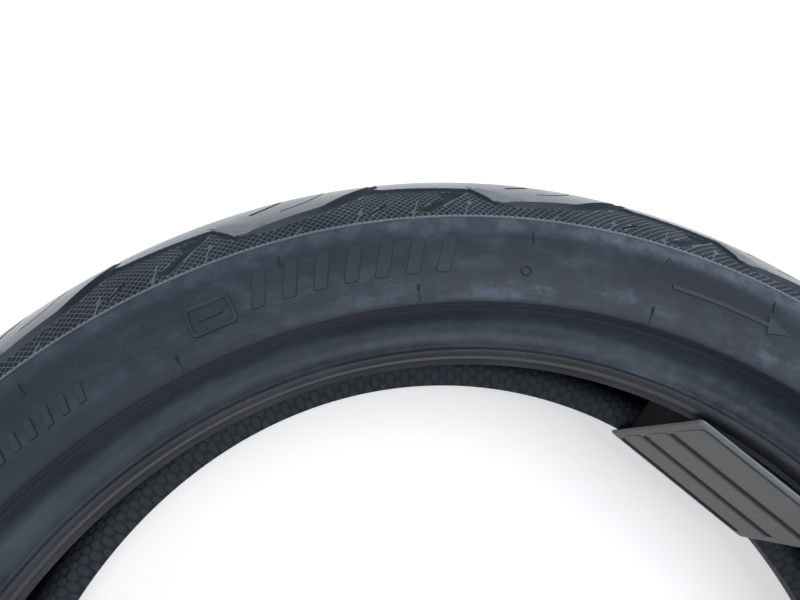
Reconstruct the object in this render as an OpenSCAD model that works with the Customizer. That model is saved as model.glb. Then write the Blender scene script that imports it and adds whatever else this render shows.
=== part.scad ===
// Motorcycle tyre lying flat, with three bead spreaders holding its beads apart.
// The axle is +Z, the origin is the tyre's centre and the upper half is +Z.
// Every ring is a section in [radius, height], turned about the axle.

/* [Tyre] */
// Height of the section, from the bead's seat to the crown of the tread
section_h = 94.5; // [88:0.5:100]
// Width over the two sidewalls
section_w = 160; // [156:1:166]
// Radius of the tread's arc across the tyre
tread_curve = 90; // [88:1:94]
// Drop of the shoulder line below the highest ring of the side
shoulder_drop = 5.3; // [4:0.1:8]

/* [Bead] */
// Radius of the seat that grips the rim
seat_r = 217.5; // [214:0.5:220]
// Length of the seat along the axle
seat_l = 7.5; // [6:0.5:9]
// Distance between the two flange faces, with the beads held apart
bead_spread = 104; // [100:1:108]
// Radius of the rounded heel between flange face and seat
heel_round = 3; // [2:0.5:4]
// How far the toe stands inside the seat
toe_lip = 2; // [1:0.25:3]
// Radial height of the recess that takes the rim's flange, above the seat
flange_h = 15.5; // [14.5:0.5:17]
// Fillet between flange face and recess wall
flange_round = 5; // [4:0.5:5.5]
// Drop of the recess wall's top below the highest ring of the side
crease_drop = 5; // [4:0.5:8]
// Radius of one bead wire
wire_r = 0.85; // [0.6:0.05:0.95]
// Rings of wires around the middle wire of a bead
wire_rings = 2; // [1:1:2]

/* [Layers] */
// Thickness of the tread cap, with its grooves
cap_t = 6; // [5.5:0.5:7]
// Thickness of the tread base
base_t = 2; // [1.5:0.5:2.5]
// Thickness of one breaker ply
breaker_t = 1.2; // [0.8:0.1:1.4]
// Thickness of one carcass ply
ply_t = 1.1; // [0.8:0.1:1.2]
// Thickness of the inner liner
liner_t = 1.4; // [1:0.1:1.6]
// Thickness of the fabric wrap on a bead bundle
wrap_t = 0.5; // [0.3:0.1:0.6]
// Angle from the breakers' edges to where the plies leave the crown
breaker_gap = 4; // [2:0.5:8]

/* [Tread pattern] */
// Pitches around the tyre
pitches = 16; // [14:1:18]
// Turn of the pattern about the axle
pattern_turn = 13.2; // [0:0.1:22.5]
// Depth of the grooves
groove_d = 4.5; // [3.5:0.5:5]
// Depth of the sipes
sipe_d = 3.5; // [2:0.5:4]
// Drop of the knurled shoulder panels below the blocks
panel_d = 1.4; // [0.8:0.2:2]
// Width of the short wide sipe
wide_sipe_w = 2.6; // [2:0.2:3.2]
// Width of the long fine sipe
fine_sipe_w = 1.2; // [0.8:0.1:1.6]
// Width of the short sipe in a shoulder panel
panel_sipe_w = 1.6; // [1:0.2:2.4]

/* [Bead spreaders] */
// Angle of the first spreader
spreader_turn = 33; // [0:1:119]
// Width of a spreader along the bead
spreader_w = 92; // [76:1:96]
// Length of its face along the axle
spreader_l = 98; // [92:1:102]
// Thickness of its face at the two ends
face_end_t = 1.8; // [1:0.1:3]
// Thickness of its walls
wall_t = 3; // [2:0.5:4]
// Reach of its walls past the toes into the tyre
wall_reach = 20; // [12:1:24]
// Grooves across its face
face_grooves = 4; // [2:1:6]
// Distance from the first and last groove to the ends of the face
groove_end = 5.5; // [3:0.5:9]
// Width of a face groove
face_groove_w = 2.2; // [1:0.2:3]
// Clearance between a spreader and the beads
spreader_gap = 0.4; // [0.3:0.1:0.8]

/* [Hidden] */
$fn = 96;

// Cuts run this far past the surface they open
over = 4;
// Sides of a wire's section, the gap round it, and spreaders around the tyre
wire_sides = 8;
wire_gap = 0.02;
spreaders = 3;
// Tread arc, the same circle for all layers of the crown
crown_r = seat_r + section_h;
tread_w = section_w - 2 * shoulder_drop;
arc_mid = [crown_r - tread_curve, 0];
edge_angle = asin(tread_w / 2 / tread_curve);
shoulder = arc_mid + tread_curve * [cos(edge_angle), sin(edge_angle)];
base_r = tread_curve - cap_t;
breaker_r = base_r - base_t;
ply_r = breaker_r - 2 * breaker_t - ply_t;

// Flange face, heel, seat and toe of the upper bead
face_z = bead_spread / 2;
seat_top = face_z - heel_round;
seat_bottom = seat_top - seat_l;
toe_r = seat_r - toe_lip;
toe_drop = 1.2;
toe_round = 0.8;
notch_d = 1;
wall_r = seat_r + flange_h;
wall_top = section_w / 2 - crease_drop;

// Bead bundle, with the two plies wrapped round it and rubber between them and the seat
bundle_r = wire_r * (2 * wire_rings + 1);
wrap_r = bundle_r + wrap_t;
wrap_gap = 0.12;
turn_r = wrap_r + ply_t + wrap_gap;
cover_t = 1.9;
bundle = [seat_r + cover_t + turn_r + ply_t, face_z - cover_t - turn_r - ply_t];

// Lower sidewall: the plies leave the crown, run straight and turn down to the bead.
// Their bend lies midway between recess wall and shoulder line, with rubber over the wall.
leave_run = 16;
bend_r = 11.5;
bend_cover = 8;
bend_x = max((wall_r + shoulder.x) / 2, wall_r + bend_cover + bend_r);
leave_tilt = atan2(leave_run, ply_r - bend_r);
leave_angle = acos((bend_x - arc_mid.x) / norm([ply_r - bend_r, leave_run])) - leave_tilt;
unit = [cos(leave_angle), sin(leave_angle)];
bend = arc_mid + (ply_r - bend_r) * unit + leave_run * [-unit.y, unit.x];
breaker_edge = leave_angle - breaker_gap;

// Angles shared by every layer of the crown, so that neighbours meet facet to facet
crown_steps = 5;
crown_angles = concat(
    [for (i = [0 : crown_steps]) breaker_edge * i / crown_steps],
    [leave_angle, edge_angle]
);

// Leg from the bend to the bead bundle, and where the liner ends under the bead
lip_angle = 285;
span = norm(bundle - bend);
toward = 180 + atan2(bend.y - bundle.y, bend.x - bundle.x);
leg_angle = toward - acos((bend_r + turn_r) / span);

// Plies turned up behind the bead
up_r = 4.5;
up_run = 11;
up_shift = 2.2;
up_mid = bundle + [up_shift, turn_r + up_r];
up_angle = leg_angle - 90;

// Outer sidewall arc, through the shoulder line and the highest ring of the side
crease_lip = 1.8;
crease_r = wall_r + crease_lip;
wide_r = crease_r + (shoulder.x - crease_r) / 3;
side_r = (pow(shoulder.x - wide_r, 2) + pow(shoulder_drop, 2)) / (2 * shoulder_drop);
side_mid = [wide_r, section_w / 2 - side_r];

// Spreader: a flat face on the bore side, with a back that follows the toes
back_r = toe_r - spreader_gap;
end_x = sqrt(pow(back_r, 2) - pow(spreader_w / 2, 2));
front_x = end_x - face_end_t;
groove_step = (spreader_l - 2 * groove_end) / (face_grooves - 1);
face_groove_d = 0.8;
wall_sink = 1.5;
pocket_floor = 1;
toe_gap = bundle.y - turn_r - ply_t - liner_t - spreader_gap;

function arc(mid, r, from, to, steps) =
    [for (i = [0 : steps]) let (a = from + (to - from) * i / steps) mid + r * [cos(a), sin(a)]];
function reversed(line) = [for (i = [len(line) - 1 : -1 : 0]) line[i]];
function flipped(line) = [for (p = line) [p.x, -p.y]];
function rest(line) = [for (i = [1 : len(line) - 1]) line[i]];

// Arc about the tread's centre through the shared angles
function crown_arc(r, from, to) =
    [for (a = crown_angles) if (a >= from && a <= to) arc_mid + r * [cos(a), sin(a)]];
function whole_arc(r, to) = concat(flipped(reversed(rest(crown_arc(r, 0, to)))), crown_arc(r, 0, to));

// The plies' line in five stretches, moved by d towards the cavity
function crown_line(d, from) = crown_arc(ply_r - d, from, leave_angle);
function bend_line(d) = arc(bend, bend_r - d, leave_angle, leg_angle, 10);
function wrap_start(d) = arc(bundle, turn_r + d, leg_start(), lip_angle, 4);
function wrap_end(d) = arc(bundle, turn_r + d, lip_angle, 90, 12);
function up_line(d) =
    let (turn = arc(up_mid, up_r - d, 270, 270 + up_angle, 5), end = turn[5])
    concat(turn, [end + up_run * [cos(up_angle), sin(up_angle)]]);
function leg_start() = leg_angle + 180;
function half_ply(d) =
    concat(crown_line(d, 0), bend_line(d), wrap_start(d), rest(wrap_end(d)), up_line(d));

// Point of a line's straight leg at a height
function on_leg(d, z) =
    let (a = bend_line(d)[10], b = wrap_start(d)[0])
    a + (b - a) * (a.y - z) / (a.y - b.y);
joint_rise = 9;
joint_z = (bundle.y + turn_r + bend.y) / 2 + joint_rise;
joint = on_leg(-ply_t, joint_z);

module ring(line) {
    rotate_extrude() polygon(line);
}

module lower() {
    mirror([0, 0, 1]) children();
}

// One layer that runs from bead to bead through the crown
module full_layer(inside, outside) {
    ring(concat(flipped(reversed(inside)), inside, reversed(outside), flipped(outside)));
}

// Band of the crown between two radii of the tread's arc, out to an edge angle
module crown_band(inner, outer, angle) {
    ring(concat(whole_arc(outer, angle), reversed(whole_arc(inner, angle))));
}

// A place on the tread: a in pitches from the pitch line, h in half tread widths from the crown
function place(a, h) =
    let (z = h * tread_w / 2, r = arc_mid.x + sqrt(pow(tread_curve, 2) - pow(min(z, tread_w / 2), 2)))
    [-r * tan(a * 360 / pitches), z];
function places(list) = [for (p = list) place(p[0], p[1])];

// Outline of a cut of even width along a line of places
function side_of(line, i) =
    let (a = line[max(i - 1, 0)], b = line[min(i + 1, len(line) - 1)], d = (b - a) / norm(b - a))
    [-d.y, d.x];
function stroke(line, w) =
    concat([for (i = [0 : len(line) - 1]) line[i] + w / 2 * side_of(line, i)],
           [for (i = [len(line) - 1 : -1 : 0]) line[i] - w / 2 * side_of(line, i)]);

// Wide groove that sweeps from the crown to the shoulder below a block
sweep_groove = places([
    [-0.15, 0.13], [-0.045, 0.4], [-0.035, 0.58], [-0.096, 0.67], [-0.192, 0.785], [-0.236, 0.83],
    [-0.487, 0.888], [-0.56, 0.88], [-0.56, 0.95], [-0.443, 0.955], [-0.236, 0.935], [-0.132, 0.86],
    [-0.03, 0.76], [0, 0.655], [0, 0.3], [-0.12, 0.11]
]);
// Hooked groove below the next block
hook_groove = places([
    [0.21, 0.775], [0.345, 0.765], [0.29, 0.845], [0.165, 0.965], [0.11, 0.945], [0.2, 0.885], [0.235, 0.85]
]);
// Shoulder panel, from the blocks to past the shoulder line
panel = places([
    [-0.57, 0.915], [-0.3, 0.9], [-0.2, 0.85], [-0.08, 0.73], [-0.015, 0.69], [0.006, 0.712],
    [0.347, 0.753], [0.425, 0.893], [0.44, 0.915], [0.44, 1.1], [-0.57, 1.1]
]);
wide_sipe = stroke(places([[-0.505, 0.715], [-0.395, 0.63], [-0.37, 0.45]]), wide_sipe_w);
fine_sipe = stroke(
    places([[-0.39, 0.775], [-0.3, 0.738], [-0.225, 0.64], [-0.19, 0.42], [-0.24, 0.18]]),
    fine_sipe_w
);
panel_sipe = stroke(places([[-0.07, 0.945], [0.006, 0.885]]), panel_sipe_w);

// Cuts of one depth on both halves of the tread, the lower half turned by half a pitch
module cuts(depth, outlines) {
    difference() {
        for (i = [0 : pitches - 1], side = [0, 1], outline = outlines)
            mirror([0, 0, side])
                rotate([0, 0, pattern_turn + (i + side / 2) * 360 / pitches])
                    translate([arc_mid.x, 0, 0])
                        rotate([90, 0, 90])
                            linear_extrude(tread_curve + over) polygon(outline);
        ring(concat(
            whole_arc(tread_curve - depth, edge_angle),
            [[arc_mid.x, tread_w / 2], [arc_mid.x, -tread_w / 2]]
        ));
    }
}

module tread_cap() {
    color("#3b434d") difference() {
        crown_band(base_r, tread_curve, edge_angle);
        cuts(panel_d, [panel]);
        cuts(groove_d, [sweep_groove, hook_groove]);
        cuts(sipe_d, [wide_sipe, fine_sipe, panel_sipe]);
    }
}

module tread_base() {
    color("#2e343c") crown_band(breaker_r, base_r, edge_angle);
}

module breaker_outer() {
    color("#8f8570") crown_band(breaker_r - breaker_t, breaker_r, breaker_edge);
}

module breaker_inner() {
    color("#847a66") crown_band(breaker_r - 2 * breaker_t, breaker_r - breaker_t, breaker_edge);
}

module carcass_ply_outer() {
    color("#9a9078") full_layer(half_ply(0), half_ply(-ply_t));
}

module carcass_ply_inner() {
    color("#a69c84") full_layer(half_ply(ply_t), half_ply(0));
}

function half_liner(d) = concat(crown_line(d, 0), bend_line(d), wrap_start(d));

module inner_liner() {
    color("#24292f") full_layer(half_liner(ply_t + liner_t), half_liner(ply_t));
}

module sidewall() {
    crease_angle = 180 - acos((wide_r - crease_r) / side_r);
    shoulder_angle = atan2(shoulder.y - side_mid.y, shoulder.x - side_mid.x);
    color("#414b58") ring(concat(
        arc(side_mid, side_r, shoulder_angle, crease_angle, 16),
        [[wall_r + crease_lip / 4, wall_top + crease_lip], [wall_r, wall_top], joint],
        reversed(bend_line(-ply_t)),
        reversed(crown_line(-ply_t, breaker_edge)),
        crown_arc(breaker_r, breaker_edge, edge_angle)
    ));
}

module sidewall_upper() {
    sidewall();
}

module sidewall_lower() {
    lower() sidewall();
}

// Rim strip round the bead: recess wall, flange face, heel, seat and toe
module chafer() {
    notch_r = seat_r + heel_round + notch_d * 0.8;
    liner_r = turn_r + ply_t + liner_t;
    color("#33393f") ring(concat(
        [[wall_r, wall_top]],
        arc([wall_r - flange_round, face_z + flange_round], flange_round, 360, 270, 6),
        [[notch_r + notch_d / 2, face_z], [notch_r, face_z - notch_d], [notch_r - notch_d / 2, face_z]],
        arc([seat_r + heel_round, seat_top], heel_round, 90, 180, 6),
        [[seat_r, seat_bottom], [toe_r, seat_bottom - toe_drop],
         [toe_r + toe_round / 2, seat_bottom - toe_drop - toe_round]],
        arc(bundle, liner_r, lip_angle - 50, lip_angle, 5),
        wrap_end(ply_t),
        up_line(ply_t),
        [up_line(-ply_t)[6], joint]
    ));
}

module chafer_upper() {
    chafer();
}

module chafer_lower() {
    lower() chafer();
}

// Hard rubber wedge between the plies and their turn-up
module bead_filler() {
    color("#1d2024") ring(concat(
        [joint],
        arc(bundle, turn_r - ply_t, leg_start(), 450, 10),
        up_line(-ply_t)
    ));
}

module bead_filler_upper() {
    bead_filler();
}

module bead_filler_lower() {
    lower() bead_filler();
}

module bead_wrap() {
    color("#b7ad95") rotate_extrude() translate(bundle) difference() {
        circle(wrap_r);
        circle(bundle_r);
    }
}

module bead_wrap_upper() {
    bead_wrap();
}

module bead_wrap_lower() {
    lower() bead_wrap();
}

// Wires packed in rings around a middle wire
module bead_wire() {
    color("#b08d57") rotate_extrude() translate(bundle) {
        circle(wire_r - wire_gap, $fn = wire_sides);
        for (k = [1 : wire_rings], i = [0 : 6 * k - 1])
            rotate(60 * floor(i / k)) translate(2 * wire_r * [k - (i % k) / 2, (i % k) * sin(60)])
                circle(wire_r - wire_gap, $fn = wire_sides);
    }
}

module bead_wire_upper() {
    bead_wire();
}

module bead_wire_lower() {
    lower() bead_wire();
}

// Moulded spreader: a face across both beads and a box of walls between the toes
module bead_spreader(i) {
    color("#4a4e53") rotate([0, 0, spreader_turn + 360 / spreaders * i]) {
        difference() {
            intersection() {
                translate([front_x, -spreader_w / 2, -spreader_l / 2])
                    cube([back_r - front_x + over, spreader_w, spreader_l]);
                cylinder(h = spreader_l, r = back_r, center = true);
            }
            for (k = [0 : face_grooves - 1])
                translate([front_x - over, -spreader_w / 2 + wall_t,
                           (k - (face_grooves - 1) / 2) * groove_step - face_groove_w / 2])
                    cube([over + face_groove_d, spreader_w - 2 * wall_t, face_groove_w]);
        }
        difference() {
            translate([front_x + wall_sink, -spreader_w / 2 + wall_t, -toe_gap])
                cube([back_r + wall_reach - front_x - wall_sink, spreader_w - 2 * wall_t, 2 * toe_gap]);
            for (side = [0, 1]) mirror([0, side, 0])
                translate([back_r + pocket_floor, wall_t / 2, wall_t - toe_gap])
                    cube([wall_reach, (spreader_w - 5 * wall_t) / 2, 2 * (toe_gap - wall_t)]);
        }
    }
}

module bead_spreader_1() {
    bead_spreader(0);
}

module bead_spreader_2() {
    bead_spreader(1);
}

module bead_spreader_3() {
    bead_spreader(2);
}

tread_cap();
tread_base();
breaker_outer();
breaker_inner();
carcass_ply_outer();
carcass_ply_inner();
inner_liner();
sidewall_upper();
sidewall_lower();
chafer_upper();
chafer_lower();
bead_filler_upper();
bead_filler_lower();
bead_wrap_upper();
bead_wrap_lower();
bead_wire_upper();
bead_wire_lower();
bead_spreader_1();
bead_spreader_2();
bead_spreader_3();
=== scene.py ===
import math
import bpy
import numpy as np
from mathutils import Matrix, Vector
from mathutils.geometry import delaunay_2d_cdt


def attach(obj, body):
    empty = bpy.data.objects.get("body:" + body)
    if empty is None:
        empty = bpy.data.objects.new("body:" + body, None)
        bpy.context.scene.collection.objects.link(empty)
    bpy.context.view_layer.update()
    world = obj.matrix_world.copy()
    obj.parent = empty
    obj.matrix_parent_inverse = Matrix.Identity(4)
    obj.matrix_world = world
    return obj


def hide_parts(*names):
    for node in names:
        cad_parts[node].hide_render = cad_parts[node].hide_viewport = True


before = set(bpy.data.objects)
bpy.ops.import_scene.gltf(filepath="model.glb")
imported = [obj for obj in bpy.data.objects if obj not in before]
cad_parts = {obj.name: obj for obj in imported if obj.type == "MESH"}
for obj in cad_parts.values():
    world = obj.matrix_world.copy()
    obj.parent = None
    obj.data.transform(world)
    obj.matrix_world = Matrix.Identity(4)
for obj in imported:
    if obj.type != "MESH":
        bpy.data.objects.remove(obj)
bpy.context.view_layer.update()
mm = 0.001  # sizes in millimetres, in metres inside the finishes; angles in degrees

# the tyre's section, in [radius, height]
tyre = {
    "crownR": 312,  # over the tread
    "halfWidth": 80,  # middle to the highest ring of the side
    "treadCurve": 90,  # arc across the tread
    "treadHalf": 74.7,  # middle to the shoulder line
    "seatR": 217.5, "seatLength": 7.5, "heelRound": 3, "toeLip": 2,
    "faceZ": 52,  # middle to the flange face
    "flangeHeight": 15.5, "flangeRound": 5, "flangeWall": 18,
    "creaseOut": 1.8,  # from the flange's wall to the crease of the side
    "capDepth": 6,
    "plyDepth": 11.5,  # tread surface to the middle of the plies
    "plyThick": 1.1, "linerThick": 1.4,
    "beadCover": 1.9,  # rubber between the seat and the plies
    "beadTurn": 5.97,  # radius of the plies round the bead
    "beadEnd": 285,  # heading from the bead's middle to the liner's end
    "leaveRun": 16, "bendR": 11.5,
}
curve = tyre["treadCurve"]
arcMid = Vector((tyre["crownR"] - curve, 0))
edgeAngle = math.degrees(math.asin(tyre["treadHalf"] / curve))
plyR = curve - tyre["plyDepth"]
wallR = tyre["seatR"] + tyre["flangeHeight"]
wallTop = tyre["faceZ"] + tyre["flangeRound"] + tyre["flangeWall"]
stripJoint = Vector((wallR + 1.5, wallTop - 8))  # behind the wall, where side and rim strip meet
bundleIn = tyre["beadCover"] + tyre["beadTurn"] + tyre["plyThick"]
bundle = Vector((tyre["seatR"] + bundleIn, tyre["faceZ"] - bundleIn))


def heading(angle):
    return Vector((math.cos(math.radians(angle)), math.sin(math.radians(angle))))


def arc(mid, r, start, end, steps):
    return [Vector(mid) + r * heading(start + (end - start) * i / steps) for i in range(steps + 1)]


shoulder = arcMid + curve * heading(edgeAngle)
creaseR = wallR + tyre["creaseOut"]
wideR = creaseR + (shoulder.x - creaseR) / 3  # the highest ring of the side
sideDrop = tyre["halfWidth"] - shoulder.y
sideR = ((shoulder.x - wideR) ** 2 + sideDrop ** 2) / (2 * sideDrop)
sideMid = Vector((wideR, tyre["halfWidth"] - sideR))
leaveReach = Vector((plyR - tyre["bendR"], tyre["leaveRun"]))
leaveAngle = math.degrees(math.acos(((wallR + shoulder.x) / 2 - arcMid.x) / leaveReach.length)
        - math.atan2(leaveReach.y, leaveReach.x))
leave = heading(leaveAngle)
bend = arcMid + (plyR - tyre["bendR"]) * leave + tyre["leaveRun"] * Vector((-leave.y, leave.x))
toBundle = bundle - bend
legAngle = math.degrees(math.atan2(toBundle.y, toBundle.x) % math.tau
        - math.acos((tyre["bendR"] + tyre["beadTurn"]) / toBundle.length))


class Wire:
    # one socket of a node tree; arithmetic on it adds nodes
    def __init__(self, tree, socket, material=None):
        self.tree, self.socket, self.material = tree, socket, material

    def node(self, kind, values, out=0, **settings):
        made = self.tree.nodes.new("ShaderNode" + kind)
        for key, value in settings.items():
            setattr(made, key, value)
        for key, value in values.items():
            socket = made.inputs[key]
            if isinstance(value, Wire):
                self.tree.links.new(value.socket, socket)
            else:
                socket.default_value = (*value, 1) if socket.type == "RGBA" else value
        return Wire(self.tree, made.outputs[out] if made.outputs else None)

    def math(self, operation, *others):
        return self.node("Math", dict(enumerate((self,) + others)), operation=operation)

    __add__ = __radd__ = lambda self, other: self.math("ADD", other)
    __mul__ = __rmul__ = lambda self, other: self.math("MULTIPLY", other)
    __sub__ = lambda self, other: self.math("SUBTRACT", other)
    __truediv__ = lambda self, other: self.math("DIVIDE", other)

    def __rsub__(self, other):
        return self.node("Math", {0: other, 1: self}, operation="SUBTRACT")

    def noise(self, scale, detail=4, rough=0.55):
        values = {"Vector": self, "Scale": scale, "Detail": detail, "Roughness": rough}
        return self.node("TexNoise", values)

    def cells(self, scale):
        return self.node("TexVoronoi", {"Vector": self, "Scale": scale})

    def stretch(self, scale):
        return self.node("VectorMath", {0: self, 1: scale}, operation="MULTIPLY")

    def ramp(self, low, high):
        values = {"Value": self, "From Min": low, "From Max": high}
        return self.node("MapRange", values, interpolation_type="SMOOTHSTEP")

    def blend(self, first, second):  # self is the share of the second colour
        return self.node("Mix", {0: self, 6: first, 7: second}, 2, data_type="RGBA")

    def parts(self):
        made = self.node("SeparateXYZ", {0: self})
        return [Wire(self.tree, socket) for socket in made.socket.node.outputs]


def openMaterial(name):
    material = bpy.data.materials.new(name)
    material.use_nodes = True
    material.node_tree.nodes.clear()
    place = material.node_tree.nodes.new("ShaderNodeTexCoord")
    return Wire(material.node_tree, place.outputs["Object"], material)


def closeMaterial(place, colour, rough, height, depth, gloss=0.5, others=(), strength=0.6):
    bump = place.node("Bump", {"Height": height, "Distance": depth, "Strength": strength})
    values = {"Base Color": colour, "Roughness": rough, "Normal": bump, "Specular IOR Level": gloss}
    shader = place.node("BsdfPrincipled", {**values, **dict(others)})
    place.node("OutputMaterial", {"Surface": shader})
    return place.material


def ringPlace(place):  # radius, height and turn about the axle
    x, y, z = place.parts()
    return (x * x + y * y).math("SQRT"), z, y.math("ARCTAN2", x)


def ringStreak(place, reach):  # place for streaks that run round the tyre
    x, y, z = place.parts()
    r = (x * x + y * y).math("SQRT")
    return place.node("CombineXYZ", {0: x / r * reach, 1: y / r * reach, 2: r + z * 0.6})


def litSideShare(turn):  # painted light: the side of the tyre towards the key lamp (+X) is painted paler
    return turn.math("COSINE") * 0.5 + 0.5


def makeTreadRubber():  # smooth blocks with a silvery bloom
    finish = {"tones": ((0.05, 0.062, 0.078), (0.13, 0.153, 0.184)), "rough": 0.19,
            "tint": (0.88, 0.95, 1.0)}
    place = openMaterial("treadRubber")
    cloud = place.noise(22, 5).ramp(0.36, 0.7)
    grain = place.noise(900, 3)
    scuff = place.stretch((1, 1, 9)).noise(60, 4).ramp(0.55, 0.75)
    colour = (cloud * 0.7 + scuff * 0.25).blend(*finish["tones"])
    rough = finish["rough"] + 0.1 * cloud + 0.05 * grain
    tint = {"Specular Tint": finish["tint"]}
    return closeMaterial(place, colour, rough, grain, 0.00002, others=tint)


panelTones = {  # dark, pale, gloss, roughness, tone near the shoulder
    "knurl": ((0.025, 0.033, 0.046), (0.132, 0.156, 0.196), 0.34, 0.46),
    # painted shade: the knurl pits are darker than the crests
    "pit": ((0.017, 0.023, 0.033), (0.07, 0.086, 0.111), 0.12, 0.7),
    # painted shade: cut floors and walls are darker than the block tops
    "groove": ((0.014, 0.019, 0.028), (0.042, 0.052, 0.07), 0.12, 0.68),
    # painted shade in the sweep groove, with a paler tone at its shallow tail near the shoulder
    "sweep": ((0.014, 0.019, 0.028), (0.042, 0.052, 0.07), 0.12, 0.68, (0.055, 0.07, 0.092)),
    "mark": ((0.015, 0.021, 0.032), (0.042, 0.054, 0.074), 0.24, 0.42),
    # painted highlight: pale tone for the sloped facets, tread vent ribs and shoulder teeth
    "flash": ((0.11, 0.128, 0.158), (0.22, 0.245, 0.285), 0.5, 0.36),
}


def makePanelRubber(name, dark, pale, level, rough, tail=None):
    place = openMaterial(name)
    cloud = place.noise(30, 4).ramp(0.32, 0.7)
    dust = ringStreak(place, 0.2).noise(70, 5, 0.65).ramp(0.45, 0.8)
    grain = place.noise(1300, 2)
    litSide = litSideShare(ringPlace(place)[2])
    # painted light: the bloom is stronger and the whole tone paler on the lit side
    share = (cloud * 0.35 + dust * 0.25) * (0.3 + 0.7 * litSide) + 0.45 * litSide
    colour = share.blend(dark, pale)
    if tail:
        # painted light: the shallow tail is painted paler than the shaded groove
        colour = place.parts()[2].math("ABSOLUTE").ramp(0.0595, 0.0655).blend(colour, tail)
    rough = rough + 0.14 * grain
    return closeMaterial(place, colour, rough, grain, 0.00005, level)


def makeSidewallRubber():  # satin with blotches and wisps of pale bloom, painted paler on the lit side, with a painted shadow along the crease
    finish = {"tones": ((0.0165, 0.0225, 0.0345), (0.14, 0.178, 0.235)),
            "edge": (0.0082, 0.0125, 0.0195), "rough": 0.46, "gloss": 0.2}
    place = openMaterial("sidewallRubber")
    radius, _, turn = ringPlace(place)
    streak = ringStreak(place, 0.1)
    blotch = streak.noise(17, 5, 0.58).ramp(0.43, 0.63)
    wisps = streak.stretch((1, 1, 1.6)).noise(52, 6, 0.68).ramp(0.41, 0.67)
    mottle = place.noise(130, 5, 0.66).ramp(0.4, 0.66)
    grain = place.noise(1300, 3)
    pits = place.cells(420).ramp(0.0, 0.25)
    # painted light: the lit side is painted paler, in the bloom, the band by the shoulder line and
    # the inner part
    litSide = litSideShare(turn)
    litSide = litSide * litSide
    band = radius.ramp(0.262, 0.269) * (1 - radius.ramp(0.2716, 0.2722))  # by the shoulder line
    foot = 1 - radius.ramp(0.24, 0.258)  # the side's inner part
    share = (0.05 + 0.85 * blotch) * (0.2 + 0.8 * wisps) * (0.6 + 0.6 * mottle)
    share = share * (0.07 + 0.95 * litSide) + band * (0.04 + litSide * (0.35 + 0.6 * mottle))
    share = share + foot * litSide * litSide * (0.1 + 0.9 * mottle) * (0.15 + 0.6 * wisps)
    bloom = share.blend(*finish["tones"])
    # painted shadow: the side darkens to the edge tone towards the crease, from radius 237.4 mm in
    # to 234 mm
    colour = radius.ramp(0.234, 0.2374).blend(finish["edge"], bloom)
    rough = finish["rough"] + 0.18 * share + 0.06 * grain
    relief = grain * 0.7 + pits * 0.3
    return closeMaterial(place, colour, rough, relief, 0.00006, finish["gloss"])


def makeChaferRubber():  # painted shade on the recess wall, painted light on the flange face and fillet, with a bluish bloom
    finish = {"tones": ((0.015, 0.0205, 0.0305), (0.092, 0.115, 0.15)),
            "rough": 0.44, "gloss": 0.24}
    place = openMaterial("chaferRubber")
    _, height, turn = ringPlace(place)
    streak = ringStreak(place, 0.11)
    blotch = streak.noise(18, 5, 0.6).ramp(0.42, 0.72)
    wisps = streak.noise(60, 6, 0.68).ramp(0.42, 0.8)
    mottle = place.noise(150, 5, 0.66).ramp(0.4, 0.68)
    litSide = litSideShare(turn)
    up = height.math("ABSOLUTE")
    low = 1 - up.ramp(0.056, 0.0715)  # flange face and fillet, painted paler than the shaded wall
    # painted light: the fillet and the foot of the wall are painted paler
    paintedFilletLight = up.ramp(0.0522, 0.0545) * (1 - up.ramp(0.059, 0.07))
    # dust bloom, scaled up on the painted lit side
    dust = (wisps * blotch * 0.5 + mottle * 0.3) * (0.2 + litSide * litSide)
    share = low * (0.15 + blotch * 0.26 + dust) + wisps * 0.05 + paintedFilletLight * (0.16 + 0.12 * blotch)
    colour = share.blend(*finish["tones"])
    rough = finish["rough"] + 0.16 * blotch + 0.06 * wisps
    grain = place.noise(1200, 3)
    return closeMaterial(place, colour, rough, grain, 0.00007, finish["gloss"])


def makeBeadRubber():  # grey bead base with the print of its fabric
    finish = {"tones": ((0.02, 0.024, 0.03), (0.055, 0.063, 0.075)), "rough": 0.5, "gloss": 0.26}
    place = openMaterial("beadRubber")
    _, height, turn = ringPlace(place)
    wisps = ringStreak(place, 0.09).noise(70, 6, 0.65).ramp(0.4, 0.78)
    weave = (turn * 900).math("SINE") * (height.math("ABSOLUTE") * 5200).math("SINE")
    colour = (wisps * 0.75 + place.noise(20, 4) * 0.2).blend(*finish["tones"])
    rough = finish["rough"] + 0.14 * wisps
    relief = weave * 0.5 + place.noise(1200, 3)
    return closeMaterial(place, colour, rough, relief, 0.00007, finish["gloss"])


def makeLinerRubber():  # six-sided cells left by the curing bladder
    finish = {"tones": ((0.013, 0.017, 0.023), (0.062, 0.075, 0.094)), "rough": 0.45,
            "gloss": 0.2, "around": 326, "across": 1257}  # waves round the axle and outwards
    place = openMaterial("linerRubber")
    radius, height, turn = ringPlace(place)
    along = (radius + height.math("ABSOLUTE") * 0.6) * finish["across"]
    half = turn * (finish["around"] / 2)
    waves = (turn * finish["around"]).math("COSINE")
    waves = waves + (half + along).math("COSINE") + (half - along).math("COSINE")
    wall = waves.ramp(-1.35, 0.1)
    cloud = place.noise(20, 4)
    colour = (wall * 0.42 + cloud * 0.4).blend(*finish["tones"])
    rough = finish["rough"] + 0.2 * cloud
    relief = wall + place.noise(500, 3) * 0.15
    return closeMaterial(place, colour, rough, relief, 0.0004, finish["gloss"], strength=0.5)


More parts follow.
